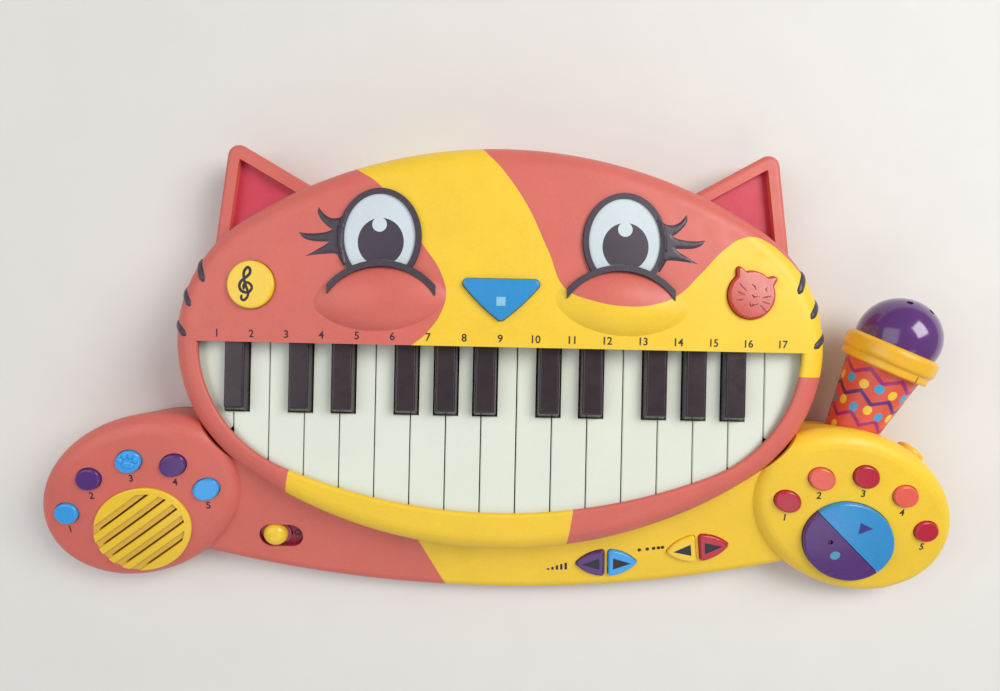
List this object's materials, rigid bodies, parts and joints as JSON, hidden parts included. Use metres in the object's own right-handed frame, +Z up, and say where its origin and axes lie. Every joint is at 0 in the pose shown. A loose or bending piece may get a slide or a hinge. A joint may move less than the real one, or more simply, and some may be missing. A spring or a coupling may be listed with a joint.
{
  "type": "toy piano",
  "caption": "Cat-shaped toy keyboard with hinged piano keys in the cat's mouth, push buttons on its paws and face, a loudspeaker and a pull-out microphone.",
  "frame": {"origin": "on the flat underside, below the middle of the straight upper edge of the key opening", "axes": "+X along the keyboard to the treble end, +Y from the player to the ears, +Z up out of the keys"},
  "size_m": [0.5644, 0.2757, 0.0751],
  "materials": {
    "head_plastic": "satin, salmon with yellow patches",
    "body_plastic": "satin, salmon on the left and yellow on the right",
    "rear_plastic": "fine texture",
    "yellow_plastic": "satin",
    "mic_plastic": "satin",
    "blue_plastic": "satin",
    "purple_plastic": "satin",
    "red_plastic": "satin",
    "coral_plastic": "satin",
    "white_key_plastic": "gloss",
    "black_key_plastic": "satin",
    "frame_plastic": "plain",
    "board": "plain",
    "speaker_metal": "black",
    "steel": "plain"
  },
  "bodies": {
    "base": {"head_cover": "head_plastic", "body_cover": "body_plastic", "rear_cover": "rear_plastic", "battery_door": "rear_plastic", "screws": "steel", "speaker_grille": "yellow_plastic", "speaker": "speaker_metal", "key_frame": "frame_plastic", "electronics": "board"},
    "power_switch": {"power_switch": "yellow_plastic"},
    "microphone": {"mic_handle": "mic_plastic", "mic_head": "purple_plastic"},
    "white_key_01": {"white_key_01": "white_key_plastic"},
    "white_key_02": {"white_key_02": "white_key_plastic"},
    "white_key_03": {"white_key_03": "white_key_plastic"},
    "white_key_04": {"white_key_04": "white_key_plastic"},
    "white_key_05": {"white_key_05": "white_key_plastic"},
    "white_key_06": {"white_key_06": "white_key_plastic"},
    "white_key_07": {"white_key_07": "white_key_plastic"},
    "white_key_08": {"white_key_08": "white_key_plastic"},
    "white_key_09": {"white_key_09": "white_key_plastic"},
    "white_key_10": {"white_key_10": "white_key_plastic"},
    "white_key_11": {"white_key_11": "white_key_plastic"},
    "white_key_12": {"white_key_12": "white_key_plastic"},
    "white_key_13": {"white_key_13": "white_key_plastic"},
    "white_key_14": {"white_key_14": "white_key_plastic"},
    "white_key_15": {"white_key_15": "white_key_plastic"},
    "white_key_16": {"white_key_16": "white_key_plastic"},
    "white_key_17": {"white_key_17": "white_key_plastic"},
    "black_key_01": {"black_key_01": "black_key_plastic"},
    "black_key_02": {"black_key_02": "black_key_plastic"},
    "black_key_03": {"black_key_03": "black_key_plastic"},
    "black_key_04": {"black_key_04": "black_key_plastic"},
    "black_key_05": {"black_key_05": "black_key_plastic"},
    "black_key_06": {"black_key_06": "black_key_plastic"},
    "black_key_07": {"black_key_07": "black_key_plastic"},
    "black_key_08": {"black_key_08": "black_key_plastic"},
    "black_key_09": {"black_key_09": "black_key_plastic"},
    "black_key_10": {"black_key_10": "black_key_plastic"},
    "black_key_11": {"black_key_11": "black_key_plastic"},
    "nose_button": {"nose_button": "blue_plastic"},
    "clef_button": {"clef_button": "yellow_plastic"},
    "cat_button": {"cat_button": "red_plastic"},
    "instrument_button_1": {"instrument_button_1": "blue_plastic"},
    "instrument_button_2": {"instrument_button_2": "purple_plastic"},
    "instrument_button_3": {"instrument_button_3": "blue_plastic"},
    "instrument_button_4": {"instrument_button_4": "purple_plastic"},
    "instrument_button_5": {"instrument_button_5": "blue_plastic"},
    "rhythm_button_1": {"rhythm_button_1": "red_plastic"},
    "rhythm_button_2": {"rhythm_button_2": "coral_plastic"},
    "rhythm_button_3": {"rhythm_button_3": "red_plastic"},
    "rhythm_button_4": {"rhythm_button_4": "coral_plastic"},
    "rhythm_button_5": {"rhythm_button_5": "red_plastic"},
    "play_button": {"play_button": "blue_plastic"},
    "record_button": {"record_button": "purple_plastic"},
    "volume_down_button": {"volume_down_button": "purple_plastic"},
    "volume_up_button": {"volume_up_button": "blue_plastic"},
    "tempo_down_button": {"tempo_down_button": "yellow_plastic"},
    "tempo_up_button": {"tempo_up_button": "red_plastic"},
    "mic_button": {"mic_button": "mic_plastic"}
  },
  "joints": [
    {"name": "white_key_01_hinge", "type": "hinge", "parent": "base", "child": "white_key_01", "pos_m": [0, 0.026, 0.046], "axis": [1, 0, 0], "range_deg": [0, 2.4], "stiffness_Nm_per_rad": 0.9, "springref_deg": -2.01},
    {"name": "white_key_02_hinge", "type": "hinge", "parent": "base", "child": "white_key_02", "pos_m": [0, 0.026, 0.046], "axis": [1, 0, 0], "range_deg": [0, 2.4], "stiffness_Nm_per_rad": 0.9, "springref_deg": -2.01},
    {"name": "white_key_03_hinge", "type": "hinge", "parent": "base", "child": "white_key_03", "pos_m": [0, 0.026, 0.046], "axis": [1, 0, 0], "range_deg": [0, 2.4], "stiffness_Nm_per_rad": 0.9, "springref_deg": -2.01},
    {"name": "white_key_04_hinge", "type": "hinge", "parent": "base", "child": "white_key_04", "pos_m": [0, 0.026, 0.046], "axis": [1, 0, 0], "range_deg": [0, 2.4], "stiffness_Nm_per_rad": 0.9, "springref_deg": -2.01},
    {"name": "white_key_05_hinge", "type": "hinge", "parent": "base", "child": "white_key_05", "pos_m": [0, 0.026, 0.046], "axis": [1, 0, 0], "range_deg": [0, 2.4], "stiffness_Nm_per_rad": 0.9, "springref_deg": -2.01},
    {"name": "white_key_06_hinge", "type": "hinge", "parent": "base", "child": "white_key_06", "pos_m": [0, 0.026, 0.046], "axis": [1, 0, 0], "range_deg": [0, 2.4], "stiffness_Nm_per_rad": 0.9, "springref_deg": -2.01},
    {"name": "white_key_07_hinge", "type": "hinge", "parent": "base", "child": "white_key_07", "pos_m": [0, 0.026, 0.046], "axis": [1, 0, 0], "range_deg": [0, 2.4], "stiffness_Nm_per_rad": 0.9, "springref_deg": -2.01},
    {"name": "white_key_08_hinge", "type": "hinge", "parent": "base", "child": "white_key_08", "pos_m": [0, 0.026, 0.046], "axis": [1, 0, 0], "range_deg": [0, 2.4], "stiffness_Nm_per_rad": 0.9, "springref_deg": -2.01},
    {"name": "white_key_09_hinge", "type": "hinge", "parent": "base", "child": "white_key_09", "pos_m": [0, 0.026, 0.046], "axis": [1, 0, 0], "range_deg": [0, 2.4], "stiffness_Nm_per_rad": 0.9, "springref_deg": -2.01},
    {"name": "white_key_10_hinge", "type": "hinge", "parent": "base", "child": "white_key_10", "pos_m": [0, 0.026, 0.046], "axis": [1, 0, 0], "range_deg": [0, 2.4], "stiffness_Nm_per_rad": 0.9, "springref_deg": -2.01},
    {"name": "white_key_11_hinge", "type": "hinge", "parent": "base", "child": "white_key_11", "pos_m": [0, 0.026, 0.046], "axis": [1, 0, 0], "range_deg": [0, 2.4], "stiffness_Nm_per_rad": 0.9, "springref_deg": -2.01},
    {"name": "white_key_12_hinge", "type": "hinge", "parent": "base", "child": "white_key_12", "pos_m": [0, 0.026, 0.046], "axis": [1, 0, 0], "range_deg": [0, 2.4], "stiffness_Nm_per_rad": 0.9, "springref_deg": -2.01},
    {"name": "white_key_13_hinge", "type": "hinge", "parent": "base", "child": "white_key_13", "pos_m": [0, 0.026, 0.046], "axis": [1, 0, 0], "range_deg": [0, 2.4], "stiffness_Nm_per_rad": 0.9, "springref_deg": -2.01},
    {"name": "white_key_14_hinge", "type": "hinge", "parent": "base", "child": "white_key_14", "pos_m": [0, 0.026, 0.046], "axis": [1, 0, 0], "range_deg": [0, 2.4], "stiffness_Nm_per_rad": 0.9, "springref_deg": -2.01},
    {"name": "white_key_15_hinge", "type": "hinge", "parent": "base", "child": "white_key_15", "pos_m": [0, 0.026, 0.046], "axis": [1, 0, 0], "range_deg": [0, 2.4], "stiffness_Nm_per_rad": 0.9, "springref_deg": -2.01},
    {"name": "white_key_16_hinge", "type": "hinge", "parent": "base", "child": "white_key_16", "pos_m": [0, 0.026, 0.046], "axis": [1, 0, 0], "range_deg": [0, 2.4], "stiffness_Nm_per_rad": 0.9, "springref_deg": -2.01},
    {"name": "white_key_17_hinge", "type": "hinge", "parent": "base", "child": "white_key_17", "pos_m": [0, 0.026, 0.046], "axis": [1, 0, 0], "range_deg": [0, 2.4], "stiffness_Nm_per_rad": 0.9, "springref_deg": -2.01},
    {"name": "black_key_01_hinge", "type": "hinge", "parent": "base", "child": "black_key_01", "pos_m": [0, 0.026, 0.046], "axis": [1, 0, 0], "range_deg": [0, 3.4], "stiffness_Nm_per_rad": 0.7, "springref_deg": -2.29},
    {"name": "black_key_02_hinge", "type": "hinge", "parent": "base", "child": "black_key_02", "pos_m": [0, 0.026, 0.046], "axis": [1, 0, 0], "range_deg": [0, 3.4], "stiffness_Nm_per_rad": 0.7, "springref_deg": -2.29},
    {"name": "black_key_03_hinge", "type": "hinge", "parent": "base", "child": "black_key_03", "pos_m": [0, 0.026, 0.046], "axis": [1, 0, 0], "range_deg": [0, 3.4], "stiffness_Nm_per_rad": 0.7, "springref_deg": -2.29},
    {"name": "black_key_04_hinge", "type": "hinge", "parent": "base", "child": "black_key_04", "pos_m": [0, 0.026, 0.046], "axis": [1, 0, 0], "range_deg": [0, 3.4], "stiffness_Nm_per_rad": 0.7, "springref_deg": -2.29},
    {"name": "black_key_05_hinge", "type": "hinge", "parent": "base", "child": "black_key_05", "pos_m": [0, 0.026, 0.046], "axis": [1, 0, 0], "range_deg": [0, 3.4], "stiffness_Nm_per_rad": 0.7, "springref_deg": -2.29},
    {"name": "black_key_06_hinge", "type": "hinge", "parent": "base", "child": "black_key_06", "pos_m": [0, 0.026, 0.046], "axis": [1, 0, 0], "range_deg": [0, 3.4], "stiffness_Nm_per_rad": 0.7, "springref_deg": -2.29},
    {"name": "black_key_07_hinge", "type": "hinge", "parent": "base", "child": "black_key_07", "pos_m": [0, 0.026, 0.046], "axis": [1, 0, 0], "range_deg": [0, 3.4], "stiffness_Nm_per_rad": 0.7, "springref_deg": -2.29},
    {"name": "black_key_08_hinge", "type": "hinge", "parent": "base", "child": "black_key_08", "pos_m": [0, 0.026, 0.046], "axis": [1, 0, 0], "range_deg": [0, 3.4], "stiffness_Nm_per_rad": 0.7, "springref_deg": -2.29},
    {"name": "black_key_09_hinge", "type": "hinge", "parent": "base", "child": "black_key_09", "pos_m": [0, 0.026, 0.046], "axis": [1, 0, 0], "range_deg": [0, 3.4], "stiffness_Nm_per_rad": 0.7, "springref_deg": -2.29},
    {"name": "black_key_10_hinge", "type": "hinge", "parent": "base", "child": "black_key_10", "pos_m": [0, 0.026, 0.046], "axis": [1, 0, 0], "range_deg": [0, 3.4], "stiffness_Nm_per_rad": 0.7, "springref_deg": -2.29},
    {"name": "black_key_11_hinge", "type": "hinge", "parent": "base", "child": "black_key_11", "pos_m": [0, 0.026, 0.046], "axis": [1, 0, 0], "range_deg": [0, 3.4], "stiffness_Nm_per_rad": 0.7, "springref_deg": -2.29},
    {"name": "nose_button_press", "type": "slide", "parent": "base", "child": "nose_button", "axis": [0, 0, -1], "range_m": [0, 0.0018], "stiffness_N_per_m": 400, "springref_m": -0.0015},
    {"name": "clef_button_press", "type": "slide", "parent": "base", "child": "clef_button", "axis": [0, 0, -1], "range_m": [0, 0.0018], "stiffness_N_per_m": 400, "springref_m": -0.0015},
    {"name": "cat_button_press", "type": "slide", "parent": "base", "child": "cat_button", "axis": [0, 0, -1], "range_m": [0, 0.0018], "stiffness_N_per_m": 400, "springref_m": -0.0015},
    {"name": "instrument_button_1_press", "type": "slide", "parent": "base", "child": "instrument_button_1", "axis": [0, 0.342, -0.9397], "range_m": [0, 0.0018], "stiffness_N_per_m": 400, "springref_m": -0.0015},
    {"name": "instrument_button_2_press", "type": "slide", "parent": "base", "child": "instrument_button_2", "axis": [0, 0.342, -0.9397], "range_m": [0, 0.0018], "stiffness_N_per_m": 400, "springref_m": -0.0015},
    {"name": "instrument_button_3_press", "type": "slide", "parent": "base", "child": "instrument_button_3", "axis": [0, 0.342, -0.9397], "range_m": [0, 0.0018], "stiffness_N_per_m": 400, "springref_m": -0.0015},
    {"name": "instrument_button_4_press", "type": "slide", "parent": "base", "child": "instrument_button_4", "axis": [0, 0.342, -0.9397], "range_m": [0, 0.0018], "stiffness_N_per_m": 400, "springref_m": -0.0015},
    {"name": "instrument_button_5_press", "type": "slide", "parent": "base", "child": "instrument_button_5", "axis": [0, 0.342, -0.9397], "range_m": [0, 0.0018], "stiffness_N_per_m": 400, "springref_m": -0.0015},
    {"name": "rhythm_button_1_press", "type": "slide", "parent": "base", "child": "rhythm_button_1", "axis": [0, 0.342, -0.9397], "range_m": [0, 0.0018], "stiffness_N_per_m": 400, "springref_m": -0.0015},
    {"name": "rhythm_button_2_press", "type": "slide", "parent": "base", "child": "rhythm_button_2", "axis": [0, 0.342, -0.9397], "range_m": [0, 0.0018], "stiffness_N_per_m": 400, "springref_m": -0.0015},
    {"name": "rhythm_button_3_press", "type": "slide", "parent": "base", "child": "rhythm_button_3", "axis": [0, 0.342, -0.9397], "range_m": [0, 0.0018], "stiffness_N_per_m": 400, "springref_m": -0.0015},
    {"name": "rhythm_button_4_press", "type": "slide", "parent": "base", "child": "rhythm_button_4", "axis": [0, 0.342, -0.9397], "range_m": [0, 0.0018], "stiffness_N_per_m": 400, "springref_m": -0.0015},
    {"name": "rhythm_button_5_press", "type": "slide", "parent": "base", "child": "rhythm_button_5", "axis": [0, 0.342, -0.9397], "range_m": [0, 0.0018], "stiffness_N_per_m": 400, "springref_m": -0.0015},
    {"name": "play_button_press", "type": "slide", "parent": "base", "child": "play_button", "axis": [0, 0.342, -0.9397], "range_m": [0, 0.0018], "stiffness_N_per_m": 400, "springref_m": -0.0015},
    {"name": "record_button_press", "type": "slide", "parent": "base", "child": "record_button", "axis": [0, 0.342, -0.9397], "range_m": [0, 0.0018], "stiffness_N_per_m": 400, "springref_m": -0.0015},
    {"name": "volume_down_button_press", "type": "slide", "parent": "base", "child": "volume_down_button", "axis": [0, 0.342, -0.9397], "range_m": [0, 0.0018], "stiffness_N_per_m": 400, "springref_m": -0.0015},
    {"name": "volume_up_button_press", "type": "slide", "parent": "base", "child": "volume_up_button", "axis": [0, 0.342, -0.9397], "range_m": [0, 0.0018], "stiffness_N_per_m": 400, "springref_m": -0.0015},
    {"name": "tempo_down_button_press", "type": "slide", "parent": "base", "child": "tempo_down_button", "axis": [0, 0.342, -0.9397], "range_m": [0, 0.0018], "stiffness_N_per_m": 400, "springref_m": -0.0015},
    {"name": "tempo_up_button_press", "type": "slide", "parent": "base", "child": "tempo_up_button", "axis": [0, 0.342, -0.9397], "range_m": [0, 0.0018], "stiffness_N_per_m": 400, "springref_m": -0.0015},
    {"name": "mic_button_press", "type": "slide", "parent": "base", "child": "mic_button", "axis": [-0.6157, -0.788, 0], "range_m": [0, 0.0018], "stiffness_N_per_m": 400, "springref_m": -0.0015},
    {"name": "power_switch_slide", "type": "slide", "parent": "base", "child": "power_switch", "axis": [1, 0, 0], "range_m": [0, 0.0078]},
    {"name": "microphone_pull", "type": "slide", "parent": "base", "child": "microphone", "axis": [0.363, 0.9121, 0.1908], "range_m": [0, 0.06]}
  ]
}
